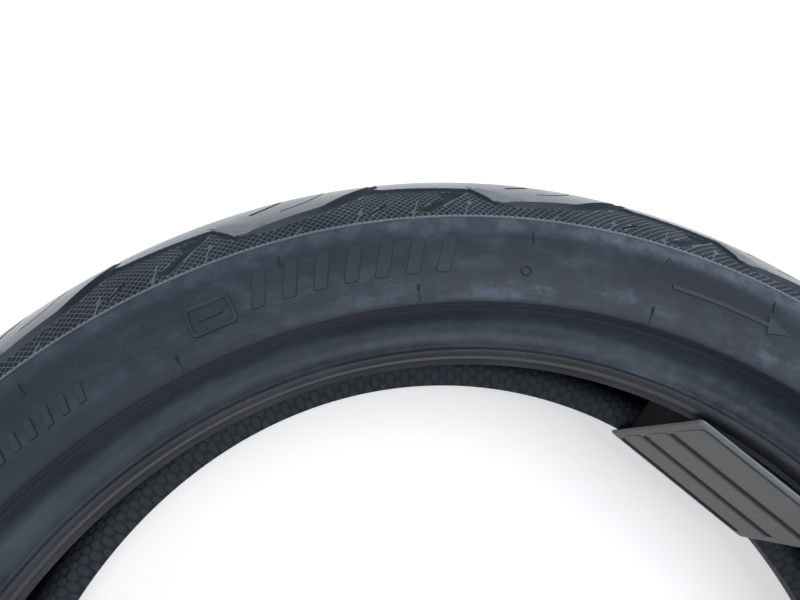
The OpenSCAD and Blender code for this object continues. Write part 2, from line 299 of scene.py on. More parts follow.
spreaderTones = {  # material, dark, pale
    "spreader": ("spreaderPlastic", (0.072, 0.072, 0.074), (0.146, 0.148, 0.154)),
    # painted shade: darker tone for the grooves and pockets
    "spreaderGrooveShade": ("spreaderShadedGrooves", (0.013, 0.014, 0.018), (0.03, 0.032, 0.038)),
    # painted highlight: paler tone for the upper edge, which catches the light
    "spreaderLitLip": ("spreaderLitLip", (0.18, 0.195, 0.215), (0.33, 0.352, 0.38)),
}


def makeSpreaderPlastic(name, dark, pale):  # grey-black moulding with a spark texture
    place = openMaterial(name)
    cloud = place.noise(35, 5, 0.6).ramp(0.35, 0.75)
    spark = place.noise(1500, 3, 0.7)
    speck = place.noise(420, 4, 0.7).ramp(0.52, 0.72)
    scratch = place.stretch((1, 1, 14)).noise(120, 4).ramp(0.62, 0.74)
    colour = (cloud * 0.45 + scratch * 0.2 + speck * 0.3).blend(dark, pale)
    rough = 0.42 + 0.12 * spark + 0.08 * cloud
    return closeMaterial(place, colour, rough, spark, 0.00008, others={"IOR": 1.48})


cordTones = {  # material, lean, tone of the cords and between them
    "breakerA": ("breakerCordsA", 2.2, (0.34, 0.29, 0.2), (0.09, 0.08, 0.06)),
    "breakerB": ("breakerCordsB", -2.2, (0.32, 0.27, 0.19), (0.09, 0.08, 0.06)),
    "plyA": ("plyCordsA", 0.4, (0.4, 0.34, 0.24), (0.11, 0.1, 0.08)),
    "plyB": ("plyCordsB", -0.4, (0.42, 0.36, 0.26), (0.12, 0.11, 0.08)),
    "wrap": ("wrapFabric", 3.0, (0.5, 0.45, 0.35), (0.2, 0.18, 0.14)),
}


def makeCordFabric(name, lean, light, dark):  # cords under a thin skin of rubber
    place = openMaterial(name)
    _, height, turn = ringPlace(place)
    cords = ((turn * 0.3 + height * lean) * 5200).math("SINE") * 0.5 + 0.5
    fuzz = place.noise(700, 4)
    colour = (cords * 0.7 + fuzz * 0.3).blend(dark, light)
    return closeMaterial(place, colour, 0.62 + 0.2 * fuzz, cords, 0.0003)


def makeBaseRubber(name, dark, pale):  # bonded rubber with a matt, mealy break
    place = openMaterial(name)
    meal = place.noise(380, 5, 0.7)
    cloud = place.noise(25, 4).ramp(0.35, 0.7)
    colour = (meal * 0.5 + cloud * 0.5).blend(dark, pale)
    return closeMaterial(place, colour, 0.6 + 0.2 * meal, meal, 0.0001)


def makeBeadSteel():  # drawn wire with a bronze coat
    place = openMaterial("beadSteel")
    drawn = place.stretch((1, 1, 30)).noise(300, 4)
    stain = place.noise(45, 4).ramp(0.4, 0.7)
    colour = stain.blend((0.62, 0.44, 0.25), (0.42, 0.31, 0.2))
    rough = 0.24 + 0.2 * drawn
    return closeMaterial(place, colour, rough, drawn, 0.00003, others={"Metallic": 1.0})


finishes = {
    "tread": makeTreadRubber(),
    **{look: makePanelRubber(look + "Rubber", *tones) for look, tones in panelTones.items()},
    "side": makeSidewallRubber(),
    "chafer": makeChaferRubber(),
    "bead": makeBeadRubber(),
    "liner": makeLinerRubber(),
    **{look: makeSpreaderPlastic(*tones) for look, tones in spreaderTones.items()},
    **{look: makeCordFabric(*tones) for look, tones in cordTones.items()},
    "base": makeBaseRubber("baseRubber", (0.02, 0.023, 0.028), (0.04, 0.045, 0.052)),
    "filler": makeBaseRubber("fillerRubber", (0.01, 0.011, 0.013), (0.024, 0.026, 0.03)),
    "steel": makeBeadSteel(),
}
print("finishes:", len(finishes))


def addObject(name, data):
    made = bpy.data.objects.new(name, data)
    bpy.context.scene.collection.objects.link(made)
    return made


def makePiece(name, verts, faces, looks, body, slotName, nodes=(), tags=None, sharp=32):
    mesh = bpy.data.meshes.new(name)
    mesh.from_pydata((np.asarray(verts) * mm).tolist(), [], [list(f) for f in faces])
    for look in looks:
        mesh.materials.append(finishes[look])
    if tags is not None:
        mesh.polygons.foreach_set("material_index", np.asarray(tags, dtype=np.int32))
    mesh.shade_smooth()
    mesh.set_sharp_from_angle(angle=math.radians(sharp))
    mesh.validate()
    piece = addObject(name, mesh)
    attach(piece, body)
    if nodes:
        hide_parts(*nodes)
    print("piece:", name, len(mesh.polygons), "faces")


def flipped(verts, faces):  # the same shape on the lower half
    return np.asarray(verts) * (1, 1, -1), [f[::-1] for f in faces]


def makePair(name, verts, faces, looks, slotName, node=None, tags=None, sharp=32):
    for half, shape in (("upper", (verts, faces)), ("lower", flipped(verts, faces))):
        nodes = [node % half] if node else ()
        makePiece(name % half, *shape, looks, "tyre", slotName, nodes, tags, sharp)


def spun(r, z, angle):  # places about the axle
    return np.stack(np.broadcast_arrays(r * np.cos(angle), r * np.sin(angle), z), -1)


def turned(outline, segments):  # a closed section turned about the axle
    angles = np.arange(segments) * math.tau / segments
    section = np.array(outline)
    count = len(section)
    verts = spun(section[:, 0], section[:, 1], angles[:, None])
    i, j = np.meshgrid(np.arange(segments), np.arange(count), indexing="ij")
    near, far = i * count, (i + 1) % segments * count
    jNext = (j + 1) % count
    faces = np.stack([near + j, far + j, far + jNext, near + jNext], -1).reshape(-1, 4)
    area = sum(a.x * b.y - b.x * a.y for a, b in zip(outline, outline[1:] + outline[:1]))
    return verts.reshape(-1, 3), faces if area > 0 else faces[:, ::-1]


def rounded(points, radius, steps=4):  # corners of a closed outline drawn as curves
    loop = []
    for i, point in enumerate(points):
        p = Vector(point)
        a = Vector(points[i - 1]) - p
        b = Vector(points[(i + 1) % len(points)]) - p
        reach = min(radius / math.tan(a.angle(b) / 2), 0.45 * a.length, 0.45 * b.length)
        start, end = p + reach * a.normalized(), p + reach * b.normalized()
        for k in range(steps + 1):
            t = k / steps
            loop.append((1 - t) ** 2 * start + 2 * t * (1 - t) * p + t ** 2 * end)
    return loop


def dense(loop, step=3):  # points added so that no edge is longer than step
    points = []
    for i, p in enumerate(loop):
        a, b = Vector(p), Vector(loop[(i + 1) % len(loop)])
        count = max(1, math.ceil((b - a).length / step))
        points += [a + (b - a) * k / count for k in range(count)]
    return points


def moved(loop, x, y):
    return [p + Vector((x, y)) for p in loop]


def inside(points, loop):  # distance to a loop, positive inside it
    p = np.asarray(points, dtype=float).reshape(-1, 1, 2)
    a = np.array(loop)
    b = np.roll(a, -1, 0)
    d = b - a
    along = np.clip(((p - a) * d).sum(-1) / np.maximum((d * d).sum(-1), 1e-12), 0, 1)
    gap = np.linalg.norm(p - a - along[..., None] * d, axis=-1).min(1)
    crosses = (a[:, 1] > p[..., 1]) != (b[:, 1] > p[..., 1])
    rise = np.where(d[:, 1] == 0, 1e-12, d[:, 1])
    left = p[..., 0] < a[:, 0] + (p[..., 1] - a[:, 1]) * d[:, 0] / rise
    return np.where((crosses & left).sum(1) % 2 == 1, gap, -gap)


def within(points, loops):  # the same for the loop that a point is deepest in
    return np.max([inside(points, loop) for loop in loops], 0)


def inset(loop, distance):  # the loop moved inwards, without its folds
    pts = np.array(loop)
    after = np.roll(pts, -1, 0)
    turn = np.sign((pts[:, 0] * after[:, 1] - after[:, 0] * pts[:, 1]).sum())
    middle = 0
    for d in (pts - np.roll(pts, 1, 0), after - pts):
        length = np.maximum(np.linalg.norm(d, axis=1), 1e-9)[:, None]
        middle = middle + np.stack([-d[:, 1], d[:, 0]], 1) * turn / length
    middle /= np.maximum((middle * middle).sum(1) / 2, 0.35)[:, None]  # no spikes at sharp corners
    shifted = pts + distance * middle
    good = inside(shifted, loop) > 0.93 * distance
    return [Vector(p) for p in shifted[good]]


def sheet(loops, points, keep, chains=()):  # triangles that follow loops and chains of points
    merge, sliver = 1e-5, 1e-7  # distance and area
    verts, edges = [], []
    for loop in loops:
        start, count = len(verts), len(loop)
        edges += [(start + i, start + (i + 1) % count) for i in range(count)]
        verts += [Vector(p) for p in loop]
    for a, b in chains:
        edges.append((len(verts), len(verts) + 1))
        verts += [Vector(a), Vector(b)]
    verts += [Vector(p) for p in points]
    result = delaunay_2d_cdt(verts, edges, [], 0, merge)
    flat, tris = np.array(result[0]), np.array(result[2])
    tris = tris[keep(flat[tris].mean(1))]
    a, b, c = (flat[tris[:, i]] for i in range(3))
    u, v = b - a, c - a
    area = u[:, 0] * v[:, 1] - v[:, 0] * u[:, 1]
    whole = np.abs(area) > sliver
    tris, area = tris[whole], area[whole]
    tris[area < 0] = tris[area < 0][:, ::-1]
    used, tris = np.unique(tris, return_inverse=True)
    return flat[used], tris.reshape(-1, 3)


def cutWall(depth, run, edge):  # a cut's wall as distances from its edge and depths
    return [0, 0.6 * edge, run, run + edge], [0, edge, depth - edge, depth]


def cutDepth(points, cuts):
    depth = np.zeros(len(points))
    for loop, wall, _ in cuts:
        depth = np.maximum(depth, np.interp(inside(points, loop), *wall))
    return depth


def cutLoops(cuts):  # every line along which a cut's surface turns
    rings = [inset(loop, gap) if gap else loop for loop, wall, _ in cuts for gap in wall[0]]
    return [ring for ring in rings if len(ring) > 2]


def rim(tris):  # edges of a sheet, in its own winding
    edges = np.concatenate([tris[:, [0, 1]], tris[:, [1, 2]], tris[:, [2, 0]]])
    pairs = {tuple(e) for e in edges.tolist()}
    return [e for e in pairs if (e[1], e[0]) not in pairs]


def shell(tris, count):  # faces of a sheet, its back and the rim between them
    faces = tris.tolist() + (tris[:, ::-1] + count).tolist()
    return faces + [[b, a, a + count, b + count] for a, b in rim(tris)]


# tread: places are [pitches clockwise of the pitch line, half tread widths from the crown]
tread = {
    "pitches": 16, "turn": 13.2,
    "walls": {  # depth of a cut, run of its slope, rounding of its edges
        "sweep": (4.5, 1.7, 0.45), "hook": (2.6, 1.2, 0.35), "panel": (1.4, 0.7, 0.3),
        "sipe": (3.5, 0.32, 0.16),
    },
    "sweepGroove": [
        (-0.15, 0.13), (-0.045, 0.4), (-0.035, 0.58), (-0.096, 0.67), (-0.192, 0.785),
        (-0.236, 0.83), (-0.487, 0.888), (-0.56, 0.88), (-0.565, 0.898), (-0.443, 0.91),
        (-0.236, 0.878), (-0.14, 0.81), (-0.035, 0.715), (0.0, 0.655), (0.0, 0.3), (-0.12, 0.11)],
    "sweepRound": 16,
    "sweepFade": ([0.62, 0.72, 0.8, 0.88], [0.08, 0.56, 0.56, 0.32]),  # its depth across the tread
    "hookGroove": [
        (0.21, 0.775), (0.345, 0.765), (0.29, 0.845), (0.165, 0.965), (0.11, 0.945), (0.2, 0.885),
        (0.235, 0.85)],
    "hookRound": 2.5,
    "panel": [
        (-0.57, 0.892), (-0.443, 0.9), (-0.3, 0.88), (-0.2, 0.842), (-0.08, 0.73), (-0.015, 0.69),
        (0.006, 0.712), (0.347, 0.753), (0.425, 0.893), (0.47, 0.912), (0.47, 1.1), (-0.6, 1.1),
        (-0.6, 0.912)],
    "facet": [(0.35, 0.752), (0.425, 0.893), (0.53, 0.884), (0.36, 0.745)],  # low, low, high, high
    "sipes": [  # line, width, rounding of the ends
        ([(-0.505, 0.715), (-0.395, 0.63), (-0.37, 0.45)], 2.6, 1.0),
        ([(-0.39, 0.775), (-0.3, 0.738), (-0.225, 0.64), (-0.19, 0.42), (-0.24, 0.18)], 1.2, 0.5),
        ([(-0.07, 0.945), (0.006, 0.885)], 1.6, 0.7),
    ],
    "knurl": {"length": 3.31, "width": 3.8, "drop": 0.75, "crest": 0.2, "slope": 0.5, "margin": 0.9,
        "grooveGap": 0.15, "trimGap": 0.1, "fade": 0.35},
    "vents": {"lines": ((-0.37, 0.95), (-0.13, 0.885), (0.09, 0.86), (0.29, 0.88)),  # inner ends
        "outer": 0.992, "lean": 0.042, "width": 0.44, "slope": 0.25, "rise": 0.45},
    "columns": 24,  # of grid points along one pitch
    "rowStep": 4.5, "backSteps": 9, "weld": 0.02, "sharp": 28,
    "looks": ["tread", "knurl", "groove", "pit", "flash", "sweep"],
}
treadTag = {look: i for i, look in enumerate(tread["looks"])}
meanR = arcMid.x + curve * 0.85
cell = math.tau / tread["pitches"] * meanR  # length of one pitch on the flat sheet
treadEdge = curve * math.radians(edgeAngle)


def onSheet(a, h):
    past = max(h - 1, 0) * tyre["treadHalf"]  # carried on beyond the shoulder line
    lateral = math.asin(min(h, 1) * tyre["treadHalf"] / curve)
    return Vector((a * cell, past + curve * lateral))


def treadLoop(places, radius=0):
    loop = [onSheet(*p) for p in places]
    return rounded(loop, radius) if radius else loop


def eased(pts):  # an open line with its bends cut to a curve
    for _ in range(3):
        inner = [q for a, b in zip(pts, pts[1:]) for q in (a.lerp(b, 0.25), a.lerp(b, 0.75))]
        pts = [pts[0]] + inner[1:-1] + [pts[-1]]
    return pts


def stroke(line, width):  # outline of a cut of even width
    pts = eased([onSheet(*p) for p in line])
    left, right = [], []
    for i, p in enumerate(pts):
        d = (pts[min(i + 1, len(pts) - 1)] - pts[max(i - 1, 0)]).normalized()
        side = Vector((-d.y, d.x)) * width / 2
        left.append(p + side)
        right.append(p - side)
    return left + right[::-1]


def treadCuts():
    walls = {name: cutWall(*wall) for name, wall in tread["walls"].items()}
    cuts = [
        (treadLoop(tread["sweepGroove"], tread["sweepRound"]), walls["sweep"], "sweep"),
        (treadLoop(tread["hookGroove"], tread["hookRound"]), walls["hook"], "groove"),
        (treadLoop(tread["panel"]), walls["panel"], "panel"),
    ]
    for line, width, ends in tread["sipes"]:
        cuts.append((rounded(stroke(line, width), ends), walls["sipe"], "groove"))
    return [(moved(dense(loop), shift, 0), wall, kind) for loop, wall, kind in cuts
            for shift in (-cell, 0, cell)]


def treadCell():
    cuts = treadCuts()
    sweepCuts = [c for c in cuts if c[2] == "sweep"]
    otherCuts = [c for c in cuts if c[2] != "sweep"]
    sweeps = [c[0] for c in sweepCuts]
    panels = [c[0] for c in cuts if c[2] == "panel"]
    grooves = [c[0] for c in cuts if c[2] != "panel"]
    facets = [moved(treadLoop(tread["facet"]), shift, 0) for shift in (-cell, 0, cell)]
    own = tread["vents"]
    vents, chains = [], []
    for a, h in own["lines"]:
        low, high = onSheet(a + own["lean"], h), onSheet(a, own["outer"])
        half = Vector((own["width"] / 2, 0))
        vents.append([low - half, low + half, high + half, high - half])
        spots = [low + (high - low) * t for t in (0.06, 0.35, 0.65, 0.94)]  # along the crest
        chains += list(zip(spots, spots[1:]))
    half = cell / 2
    border = [(-half, 0), (half, 0), (half, treadEdge), (-half, treadEdge)]
    loops = [dense(border, cell / tread["columns"])] + cutLoops(cuts)
    loops += [dense(loop) for loop in facets + vents]

    # knurl: a net of thin crests round diamond pits
    knurl = tread["knurl"]
    halfX, halfY = cell / round(cell / knurl["length"]) / 2, knurl["width"] / 2
    reach = halfX * halfY / math.hypot(halfX, halfY)  # from a pit's middle to its crests
    slope = [knurl["crest"], knurl["crest"] + knurl["slope"]]

    def pitOf(points):  # a point's pit and its distance to the crests
        u, v = points[:, 0] / halfX, (treadEdge - points[:, 1]) / halfY
        s, t = (u + v) / 2, (u - v) / 2
        pit = np.stack([np.round(s), np.round(t)], 1).astype(int)
        off = np.maximum(np.abs(s - pit[:, 0]), np.abs(t - pit[:, 1]))
        return pit, (1 - 2 * off) * reach

    count = round(half / halfX)
    ids = [(i, j) for i in range(-count - 1, count + 2) for j in range(1, int(treadEdge / halfY))
            if (i + j) % 2 == 0]
    mids = np.array([(i * halfX, treadEdge - j * halfY) for i, j in ids])
    corners = np.array([(halfX, 0), (0, halfY), (-halfX, 0), (0, -halfY)])

    def room(points):  # 1 where the knurl has its full depth, 0 beside other forms
        gaps = (within(points, panels) - knurl["margin"],
                -within(points, grooves) - knurl["grooveGap"],
                -within(points, facets + vents) - knurl["trimGap"])
        return np.clip(np.min(gaps, 0) / knurl["fade"], 0, 1)

    free = room(mids) > 0
    pits = {((i + j) // 2, (i - j) // 2) for (i, j), good in zip(ids, free) if good}
    for mid in mids[free]:
        for gap in slope:
            loop = [tuple(p) for p in mid + corners * (1 - gap / reach)]
            chains += list(zip(loop, loop[1:] + loop[:1]))

    def pitDepth(points):
        pit, gap = pitOf(points)
        known = np.array([tuple(k) in pits for k in pit.tolist()])
        return np.where(known, np.interp(gap, slope, [0, knurl["drop"]]) * room(points), 0)

    # plain grid on the blocks and in the grooves
    rows = int(treadEdge / tread["rowStep"])
    grid = np.array([(-half + cell * i / tread["columns"], treadEdge * j / rows)
            for i in range(tread["columns"] + 1) for j in range(1, rows)])
    clear = np.min([np.abs(inside(grid, ring)) for ring in loops[1:]], 0) > 0.9
    clear &= within(grid, panels) < 0

    def keep(mid):
        return (np.abs(mid[:, 0]) < half) & (mid[:, 1] > 0) & (mid[:, 1] < treadEdge)

    flat, tris = sheet(loops, [tuple(p) for p in grid[clear]], keep, chains)
    across = np.sin(flat[:, 1] / curve) * curve / tyre["treadHalf"]
    fade = np.interp(across, *tread["sweepFade"])
    depth = np.maximum(cutDepth(flat, otherCuts), cutDepth(flat, sweepCuts) * fade)
    for loop in facets:  # sloped face between the panel and a block's top
        low, high = (np.abs(np.cross(q - p, flat - np.array(p))) / (q - p).length
                for p, q in ((loop[0], loop[1]), (loop[3], loop[2])))
        fall = tread["walls"]["panel"][0] * high / np.maximum(low + high, 1e-6)
        depth = np.where(inside(flat, loop) > -1e-4, np.maximum(depth, fall), depth)
    for loop in vents:
        depth -= np.interp(inside(flat, loop), [0, own["slope"]], [0, own["rise"]])
    depth += pitDepth(flat)
    mid = flat[tris].mean(1)
    inPanel = within(mid, panels)
    tags = np.full(len(tris), treadTag["tread"])
    # painted shade: the panel's step wall, the hook groove and the sipes take the dark groove tone
    tags[inPanel > 0.1] = treadTag["groove"]
    tags[inPanel > 1.1] = treadTag["knurl"]
    tags[within(mid, grooves) > 0.05] = treadTag["groove"]
    # painted shade in the sweep groove
    tags[within(mid, sweeps) > 0.05] = treadTag["sweep"]
    # painted shade in the knurl pits
    tags[pitDepth(mid) > 0.02] = treadTag["pit"]
    # painted highlight on the sloped facets and vent ribs
    tags[within(mid, facets + vents) > 0] = treadTag["flash"]
    return flat, tris, depth, tags


def treadPoint(flat, depth, turn, side):
    angle = math.radians(turn) - flat[:, 0] / meanR
    lateral = flat[:, 1] / curve
    rise = curve - depth
    return spun(arcMid.x + rise * np.cos(lateral), side * rise * np.sin(lateral), angle)


def makeTread():
    flat, tris, depth, tags = treadCell()
    edge = [e for e in rim(tris) if min(flat[e[0], 1], flat[e[1], 1]) > treadEdge - 0.01]
    onEdge = np.unique(edge).tolist()
    shapes, looks = tris.tolist(), tags.tolist()
    upper = {i: i for i in onEdge}
    for level in np.linspace(treadEdge, 0, tread["backSteps"] + 1):  # skirt and back
        lower = {i: len(flat) + k for k, i in enumerate(onEdge)}
        flat = np.concatenate([flat, [(flat[i, 0], level) for i in onEdge]])
        shapes += [[upper[b], upper[a], lower[a], lower[b]] for a, b in edge]
        looks += [treadTag["groove"]] * len(edge)
        upper = lower
    depth = np.append(depth, np.full(len(flat) - len(depth), tyre["capDepth"]))
    verts, faces = [], []
    for k in range(tread["pitches"]):
        for side in (1, -1):
            turn = tread["turn"] + (k + (0.5 if side < 0 else 0)) * 360 / tread["pitches"]
            start = len(flat) * len(verts)
            verts.append(treadPoint(flat, depth, turn, side))
            faces += [[i + start for i in f[::-side]] for f in shapes]
    verts = np.concatenate(verts)
    _, first, where = np.unique(np.round(verts / tread["weld"]).astype(np.int64), axis=0,
            return_index=True, return_inverse=True)
    where = where.reshape(-1).tolist()
    faces = [[where[i] for i in f] for f in faces]
    looks *= 2 * tread["pitches"]
    whole = [k for k, f in enumerate(faces) if len(set(f)) == len(f)]
    makePiece("tread", verts[first], [faces[k] for k in whole], tread["looks"], "tyre",
            "tread_rubber", ["tread_cap"], [looks[k] for k in whole], tread["sharp"])


makeTread()


# shoulder line: teeth where the knurl meets the side
ridge = {"teeth": 780, "crest": 89.97, "foot": 87.4, "step": 0.5, "width": 1.0, "drop": 0.2,
        "past": 0.15, "sharp": 25}


def makeRidges():
    verts, faces = [], []
    count = 2 * ridge["teeth"]
    crest, foot, past = ridge["crest"], ridge["foot"], edgeAngle + ridge["past"]
    for i in range(count):
        angle = math.tau * i / count
        start = edgeAngle - (ridge["step"] if i % 2 else 0)
        for rho, lateral in ((foot, start - ridge["width"]), (crest, start),
                (crest - ridge["drop"], past), (foot, past)):
            p = arcMid + rho * heading(lateral)
            verts.append(spun(p.x, p.y, angle))
        a, b = 4 * i, 4 * ((i + 1) % count)
        faces += [(a + j, b + j, b + (j + 1) % 4, a + (j + 1) % 4) for j in range(4)]
    # painted highlight: the shoulder teeth take the pale glint tone
    makePair("shoulder_line_%s", verts, faces, ["flash"], "sidewall_rubber", sharp=ridge["sharp"])


makeRidges()


# sides, rim strips and liner, turned about the axle
rings = {
    "segments": 540, "linerSegments": 360,
    "lineR": 269.1, "lineDepth": 0.22,  # fine line round the side
    "creaseRound": 0.9, "fillet": 7.5,
    "sink": 0.72,  # the side is sunk by what its marks stand proud
}


def onSide(r, up=0.0):  # a place on the outer side, raised by up
    angle = math.degrees(math.acos((float(r) - sideMid.x) / sideR))
    return sideMid + (sideR - rings["sink"] + float(up)) * heading(angle)


def plyLine(d):  # the plies' line from crown to bead, moved by d towards the cavity
    return (arc(arcMid, plyR - d, 0, leaveAngle, 14)
            + arc(bend, tyre["bendR"] - d, leaveAngle, legAngle, 12)
            + arc(bundle, tyre["beadTurn"] + d, legAngle + 180, tyre["beadEnd"], 14))


def sideSection():
    line, edge, crease = rings["lineR"], shoulder.x, rings["creaseRound"]
    outer = [arcMid + (curve - 0.9) * heading(edgeAngle)]
    outer += [onSide(r) for r in (edge - 0.4, edge - 1.2, line + 0.5, line + 0.25)]
    outer += [onSide(line, -rings["lineDepth"]), onSide(line - 0.3), onSide(line - 0.6)]
    outer += [onSide(r) for r in np.linspace(line - 1.5, creaseR + 2, 26)]
    outer += arc((creaseR + crease - 0.6, onSide(creaseR).y - crease), crease, 95, 178, 6)
    outer += [Vector((wallR, wallTop)), stripJoint]
    inner = arc(bend, tyre["bendR"] + tyre["plyThick"], leaveAngle, legAngle - 25, 8)[::-1]
    inner += [arcMid + (curve - tyre["capDepth"] - 2) * heading(edgeAngle)]
    return outer + inner


def chaferSection():
    face, heel, seat, fillet = tyre["faceZ"], tyre["heelRound"], tyre["seatR"], rings["fillet"]
    toe = Vector((seat - tyre["toeLip"], face - heel - tyre["seatLength"] - 1.2))
    notch = seat + heel + 0.8
    plyOut = tyre["beadTurn"] + tyre["plyThick"]
    strip = [Vector((wallR, wallTop - drop)) for drop in (0, 6, 11)]
    strip += arc((wallR - fillet, face + fillet), fillet, 360, 270, 12)
    strip += [Vector((notch + out, face + up))
            for out, up in ((1.7, 0), (1.1, 0.35), (0.5, 0), (0, -0.8))]  # bead line
    base = [Vector((notch - 0.6, face - 0.5))] + arc((seat + heel, face - heel), heel, 95, 180, 8)
    base += [Vector((seat, toe.y + 4.5)), Vector((seat, toe.y + 1.2)), toe]
    under = [toe + Vector((0.15, -0.5)), toe + Vector((0.5, -0.8))]
    under += arc(bundle, plyOut + tyre["linerThick"], 235, tyre["beadEnd"], 8)
    back = arc(bundle, plyOut, tyre["beadEnd"], 75, 12)
    back += [Vector((wallR - 1.5, face - 1.8)), Vector((wallR + 2, face + 2.5)), stripJoint]
    looks = [0] * (len(strip) - 1) + [1] * len(base) + [2] * (len(under) + len(back)) + [0]
    return strip + base + under + back, looks


def makeRings():
    segments = rings["segments"]
    makePair("sidewall_%s_skin", *turned(sideSection(), segments), ["side"], "sidewall_rubber",
            "sidewall_%s")
    section, looks = chaferSection()
    makePair("rim_strip_%s", *turned(section, segments), ["chafer", "bead", "liner"],
            "chafer_rubber", "chafer_%s", np.tile(looks, segments))
    faceLine = plyLine(tyre["plyThick"] + tyre["linerThick"])
    backLine = plyLine(tyre["plyThick"])
    mirror = [Vector((p.x, -p.y)) for p in faceLine[:0:-1]]
    backMirror = [Vector((p.x, -p.y)) for p in backLine[1:]]
    whole = turned(mirror + faceLine + backLine[::-1] + backMirror, rings["linerSegments"])
    makePiece("liner_skin", *whole, ["liner"], "tyre", "liner_rubber", ["inner_liner"])


makeRings()


# raised marks on the sides: plain shapes, a turning arrow and vent ribs
marks = {
    "rise": 0.6, "slope": 0.5,
    "sunk": 0.25, "foot": 0.6,  # edge and foot of a mark, below the side
    "bars": {"turn": 5.4, "r": 254.5, "count": 7, "step": 12.5, "size": (6.2, 16), "lean": 5,
        "corner": 1.6, "rise": 0.4},
    "border": {"turn": -7.6, "r": 251, "size": (19, 13), "corner": 3, "hole": (14.6, 8.6),
        "holeCorner": 1.4, "dash": (10, 2.2), "dashCorner": 0.8},
    "dashes": {"turn": -23.5, "r": 248.5, "count": 6, "step": 6.6, "size": (3.6, 8), "lean": 1.5,
        "corner": 0.9, "rise": 0.6},
    "arrow": {"turn": 40.6, "r": 253.5, "length": 52, "width": 2.6, "head": (11, 9)},
    "ring": {"turn": 21.07, "r": 247.9, "size": (2.6, 1.3)},
    "triangle": {"turn": 34.3, "r": 263.2, "size": (4.48, 2.688), "rise": 0.35},
    "ventIn": {"turn": 10.9, "r": (235.6, 240.4), "head": (1.4, 2.8), "headR": 241.2},
    "ventOut": {"turn": 21.8, "r": (261.6, 265.6), "head": (1.3, 1.9), "headR": 261.0},
    "ventRib": {"width": 0.8, "lean": 0.3, "rise": 0.5, "slope": 0.25},
    "ventHead": {"lean": 0.4, "corner": 0.5, "rise": 0.68, "slope": 0.4},
    "sharp": 40,
}


def outset(loop, distance):
    mid = sum(loop, Vector((0, 0))) / len(loop)
    return [p + (p - mid).normalized() * distance for p in loop]


def box(width, height, lean=0, radius=0):
    corners = [Vector((x * width / 2 + y * lean / 2, y * height / 2))
            for x, y in ((-1, -1), (1, -1), (1, 1), (-1, 1))]
    return rounded(corners, radius) if radius else corners


def raisedMark(turn, r, outline, hole=None, rise=marks["rise"], slope=marks["slope"]):
    loops = [dense(outline)] + ([dense(hole)] if hole else [])
    edges = loops + [inset(loops[0], slope)]
    if hole:
        edges.append(dense(outset(hole, slope)))

    def depthInside(points):
        gap = inside(points, loops[0])
        return np.minimum(gap, -inside(points, loops[1])) if hole else gap

    flat, tris = sheet(edges, [], lambda mid: depthInside(mid) > 0)
    lift = np.interp(depthInside(flat), [0.02, slope * 0.9], [-marks["sunk"], rise])
    radius = r + flat[:, 1]  # flat places are [clockwise, outward] of the mark's middle
    angle = math.radians(90 - turn) - flat[:, 0] / radius
    verts = []
    for ups in (lift, np.full(len(flat), -marks["foot"])):
        s = np.array([onSide(q, up) for q, up in zip(radius, ups)])
        verts.append(spun(s[:, 0], s[:, 1], angle))
    return np.concatenate(verts), shell(tris, len(flat))


def markRow(row, shift):  # even copies along the side
    shape = box(*row["size"], row["lean"], row["corner"])
    steps = [(k - (row["count"] - 1) / 2) * row["step"] for k in range(row["count"])]
    turns = [row["turn"] + shift + math.degrees(step / row["r"]) for step in steps]
    return [raisedMark(turn, row["r"], shape, None, row["rise"]) for turn in turns]


def markSet(shift):  # every mark of one side, turned by shift
    made = markRow(marks["bars"], shift)
    border, arrow, dot, wedge = (marks[n] for n in ("border", "arrow", "ring", "triangle"))
    turn = border["turn"] + shift
    made.append(raisedMark(turn, border["r"], box(*border["size"], 0, border["corner"]),
            box(*border["hole"], 0, border["holeCorner"])))
    made.append(raisedMark(turn, border["r"], box(*border["dash"], 0, border["dashCorner"])))
    made += markRow(marks["dashes"], shift)
    end, thin, (head, wing) = arrow["length"] / 2, arrow["width"] / 2, arrow["head"]
    neck = end - head
    shape = [(-end, -thin), (neck, -thin), (neck, -wing / 2), (end, 0), (neck, wing / 2),
            (neck, thin), (-end, thin)]
    made.append(raisedMark(arrow["turn"] + shift, arrow["r"], [Vector(p) for p in shape]))
    circles = [arc((0, 0), r, 0, 345, 23) for r in dot["size"]]
    made.append(raisedMark(dot["turn"] + shift, dot["r"], *circles))
    wedges = [arc((0, 0), r, 90, 330, 2) for r in wedge["size"]]
    made.append(raisedMark(wedge["turn"] + shift, wedge["r"], *wedges, wedge["rise"]))
    return made


def ventSet():
    rib, head = marks["ventRib"], marks["ventHead"]
    paleOnes, shadedOnes = [], []
    for k in range(tread["pitches"]):
        for vent in (marks["ventIn"], marks["ventOut"]):
            low, high = vent["r"]
            turn = vent["turn"] + k * 360 / tread["pitches"]
            stem = raisedMark(turn, (low + high) / 2, box(rib["width"], high - low, rib["lean"]),
                    None, rib["rise"], rib["slope"])
            knob = raisedMark(turn, vent["headR"], box(*vent["head"], head["lean"], head["corner"]),
                    None, head["rise"], head["slope"])
            # painted shade: of each vent, one part takes the dark groove tone and the other the
            # plain mark tone
            pale, dark = (stem, knob) if vent is marks["ventIn"] else (knob, stem)
            paleOnes.append(pale)
            shadedOnes.append(dark)
    return paleOnes, shadedOnes


def joined(parts):
    verts, faces, start = [], [], 0
    for part, own in parts:
        verts.append(part)
        faces += [[i + start for i in f] for f in own]
        start += len(part)
    return np.concatenate(verts), faces


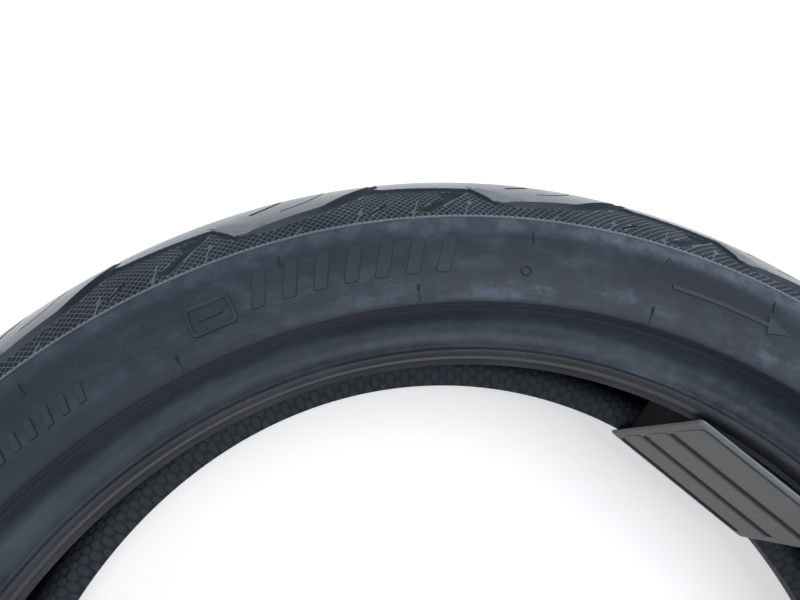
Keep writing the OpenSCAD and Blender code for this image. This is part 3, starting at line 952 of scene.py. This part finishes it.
def makeMarks():
    paleOnes, shadedOnes = ventSet()
    # the shaded vent parts take the groove tone as painted shade
    for name, parts, look in (("side_marks_%s", markSet(0) + markSet(180), "mark"),
            ("vent_flash_%s", paleOnes, "mark"),
            ("vent_stubs_%s", shadedOnes, "groove")):
        makePair(name, *joined(parts), [look], "sidewall_rubber", sharp=marks["sharp"])


makeMarks()


# bead spreaders: a flat grooved face and a pocketed box, drawn at +X and then turned
spreader = {
    "turns": (33, 153, 273),
    "width": 92, "height": 98, "corner": 3, "front": 208.32,
    "thick": (2.0, 4.5, 8),  # at the edges, in the middle, and the run between
    "backR": 215.1,  # keeps the back clear of the toes
    "bevel": ([0, 0.3, 0.8, 1.7], [1.4, 0.7, 0.22, 0]),  # its rim, as distances and depths
    "grooves": ((45.4, 1.3, 0.8), (14.5, 6.0, 1.8), (-14.5, 6.0, 1.8),
        (-43.0, 6.2, 1.8)),  # height, width, depth
    "grooveWall": (0.4, 0.15),
    "lip": 46.4,  # the painted highlight on the upper edge starts here
    "margin": 6,
    "step": 0.45,  # the fields stand proud of the border
    "fieldGap": 0.35, "fieldCorner": 3.2, "grid": 4, "sharp": 30,
    "box": {"halfY": 43, "halfZ": 34.3, "corner": 3, "start": 209.9, "end": 235.1, "wall": 3,
        "floor": 216.1, "pocketCorner": 2.5, "pocketWall": (0.8, 0.4),
        "bevel": ([0, 0.6], [0.6, 0]), "grid": 6},
}


def facing(x, flat):  # places of a flat sheet, set upright at x
    return np.stack([x, flat[:, 0], flat[:, 1]], 1)


def closedRelief(outline, cuts, front, back, gridStep, bevel, fields=(), step=0.0):
    loop = dense(outline, gridStep)
    loops = [loop] + [inset(loop, gap) for gap in bevel[0][1:]] + cutLoops(cuts)
    loops += [ring for field in fields for ring in (field, inset(field, step))]
    low, high = np.min(loop, 0), np.max(loop, 0)
    grid = np.array([(u, v) for u in np.arange(low[0], high[0], gridStep)
            for v in np.arange(low[1], high[1], gridStep)])
    clear = np.min([np.abs(inside(grid, ring)) for ring in loops], 0) > 0.6
    clear &= inside(grid, loop) > 0
    flat, tris = sheet(loops, grid[clear], lambda mid: inside(mid, loop) > 0)
    depth = cutDepth(flat, cuts) + np.interp(inside(flat, loop), *bevel)
    if fields:
        depth += step * (1 - np.interp(within(flat, fields), [0, step], [0, 1]))
    verts, faces = np.concatenate([front(flat, depth), back(flat)]), shell(tris, len(flat))
    tags = np.zeros(len(faces), dtype=np.int32)
    # painted shade: faces in the cuts take the darker groove tone
    tags[:len(tris)] = within(flat[tris].mean(1), [c[0] for c in cuts]) > 0.12
    return verts, faces, tags


def makeSpreaderFace():
    own = spreader
    outline = box(own["width"], own["height"], 0, own["corner"])
    long = own["width"] - 2 * own["margin"]
    cuts, fields = [], []
    for height, width, depth in own["grooves"]:
        bar = moved(box(long, width, 0, min(width / 2.2, 1.2)), 0, height)
        cuts.append((dense(bar), cutWall(depth, *own["grooveWall"]), "groove"))
    for upper, lower in zip(own["grooves"], own["grooves"][1:]):
        top = upper[0] - upper[1] / 2 - own["fieldGap"]
        foot = lower[0] + lower[1] / 2 + own["fieldGap"]
        field = box(long + 3, top - foot, 0, own["fieldCorner"])
        fields.append(dense(moved(field, 0, (top + foot) / 2)))

    def back(flat):
        thin, full, run = own["thick"]
        thick = np.interp(own["height"] / 2 - np.abs(flat[:, 1]), [0, run], [thin, full])
        clear = np.sqrt(own["backR"] ** 2 - flat[:, 0] ** 2)
        return facing(np.minimum(own["front"] + thick, clear), flat)

    def front(flat, depth):
        thick = back(flat)[:, 0] - own["front"]
        return facing(own["front"] + np.minimum(depth, 0.7 * thick), flat)

    verts, faces, tags = closedRelief(outline, cuts, front, back, own["grid"], own["bevel"],
            fields, own["step"])
    height = np.array([verts[f, 2].mean() for f in faces])
    # painted highlight on the upper edge above the top groove
    tags[(tags == 0) & (height > own["lip"])] = list(spreaderTones).index("spreaderLitLip")
    return verts, [f[::-1] for f in faces], tags


def makeSpreaderBox():
    own = spreader["box"]
    outline = box(2 * own["halfY"], 2 * own["halfZ"], 0, own["corner"])
    width = own["halfY"] - 1.5 * own["wall"]
    pocket = dense(box(width, 2 * own["halfZ"] - 2 * own["wall"], 0, own["pocketCorner"]), 4)
    wall = cutWall(own["end"] - own["floor"], *own["pocketWall"])
    cuts = [(moved(pocket, side * (width / 2 + own["wall"] / 2), 0), wall, "pocket")
            for side in (-1, 1)]

    def front(flat, depth):
        return facing(own["end"] - depth, flat)

    def back(flat):
        return facing(np.full(len(flat), own["start"]), flat)

    return closedRelief(outline, cuts, front, back, own["grid"], own["bevel"])


def makeSpreaders():
    face, case = makeSpreaderFace(), makeSpreaderBox()
    verts, faces = joined([face[:2], case[:2]])
    tags = np.concatenate([face[2], case[2]])
    for i, turn in enumerate(spreader["turns"]):
        c, s = heading(turn)
        placed = verts @ np.array([[c, s, 0], [-s, c, 0], [0, 0, 1]])
        name = "spreader_%d" % (i + 1)
        makePiece(name + "_moulding", placed, faces, list(spreaderTones),
                name, "spreader_plastic", ["bead_" + name], tags, spreader["sharp"])


makeSpreaders()

# layers that stay as they are in the frame
layers = {
    "tread_base": "base", "breaker_outer": "breakerA", "breaker_inner": "breakerB",
    "carcass_ply_outer": "plyA", "carcass_ply_inner": "plyB",
}
for part, look in (("filler", "filler"), ("wrap", "wrap"), ("wire", "steel")):
    layers.update({"bead_%s_%s" % (part, half): look for half in ("upper", "lower")})
for layer, look in layers.items():
    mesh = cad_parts[layer].data
    mesh.materials.clear()
    mesh.materials.append(finishes[look])
print("layers:", len(layers))

# studio: pale floor, two soft lamps and the camera over the bore
studio = {
    "floorSize": 9,  # metres
    "floorGap": 0.2,
    "floorColour": (0.8, 0.81, 0.82),
    "floorLift": (0.5, 0.9),  # white added where the camera sees it, near and far
    "skyLight": (0.37, 0.39, 0.42),  # light on the object; the backdrop is white
    "lamps": {
        "key": {"place": (600, 150, 1750), "size": 1200, "power": 18, "colour": (1.0, 1.0, 0.99)},
        "fill": {"place": (-1100, -100, 1300), "size": 1500, "power": 5,
            "colour": (0.93, 0.97, 1.0)},
    },
    "aim": (60, 240, 60),
    "camera": {"place": (0, 182.22, 317.08), "turn": (14.274, -4.694, -17.679), "lens": 28.676,
        "sensor": 36, "nearest": 10},
}


def seenShare(tree):  # 1 for rays that come straight, or by gloss, from the camera
    path = tree.nodes.new("ShaderNodeLightPath")
    camera, glossy = (Wire(tree, path.outputs[n]) for n in ("Is Camera Ray", "Is Glossy Ray"))
    return camera.math("MAXIMUM", glossy)


def makeFloor():
    half = studio["floorSize"] / 2
    low = -(tyre["halfWidth"] + studio["floorGap"]) * mm
    mesh = bpy.data.meshes.new("floor")
    corners = [(x * half, y * half, low) for x, y in ((-1, -1), (1, -1), (1, 1), (-1, 1))]
    mesh.from_pydata(corners, [], [(0, 1, 2, 3)])
    place = openMaterial("floorPaper")
    grain = place.noise(300, 3)
    near, far = ((v, v, v) for v in studio["floorLift"])
    lift = ringPlace(place)[0].ramp(0.7, 2.2).blend(near, far)
    glow = {"Emission Color": seenShare(place.tree).blend((0, 0, 0), lift),
            "Emission Strength": 1.0}
    material = closeMaterial(place, studio["floorColour"], 0.9, grain, 0.00002, others=glow)
    mesh.materials.append(material)
    floor = addObject("floor", mesh)


def makeLights():
    world = bpy.data.worlds.new("studio")
    bpy.context.scene.world = world
    world.use_nodes = True
    world.node_tree.nodes.clear()
    seen = seenShare(world.node_tree)
    colour = seen.blend(studio["skyLight"], (1, 1, 1))
    seen.node("OutputWorld", {"Surface": seen.node("Background", {"Color": colour})})
    for name, lamp in studio["lamps"].items():
        data = bpy.data.lights.new(name, "AREA")
        data.shape = "DISK"
        data.size = lamp["size"] * mm
        data.energy = lamp["power"]
        data.color = lamp["colour"]
        light = addObject(name, data)
        light.location = Vector(lamp["place"]) * mm
        aim = Vector(studio["aim"]) * mm - light.location
        light.rotation_euler = aim.to_track_quat("-Z", "Y").to_euler()


def makeCamera():
    own = studio["camera"]
    data = bpy.data.cameras.new("camera")
    data.sensor_fit = "HORIZONTAL"
    data.sensor_width = own["sensor"]
    data.lens = own["lens"]
    data.clip_start = own["nearest"] * mm
    camera = addObject("camera", data)
    camera.location = Vector(own["place"]) * mm
    camera.rotation_euler = [math.radians(a) for a in own["turn"]]
    bpy.context.scene.camera = camera


makeFloor()
makeLights()
makeCamera()
bpy.context.scene.view_settings.view_transform = "Standard"
print("studio: floor, lamps and camera")

bpy.context.view_layer.update()
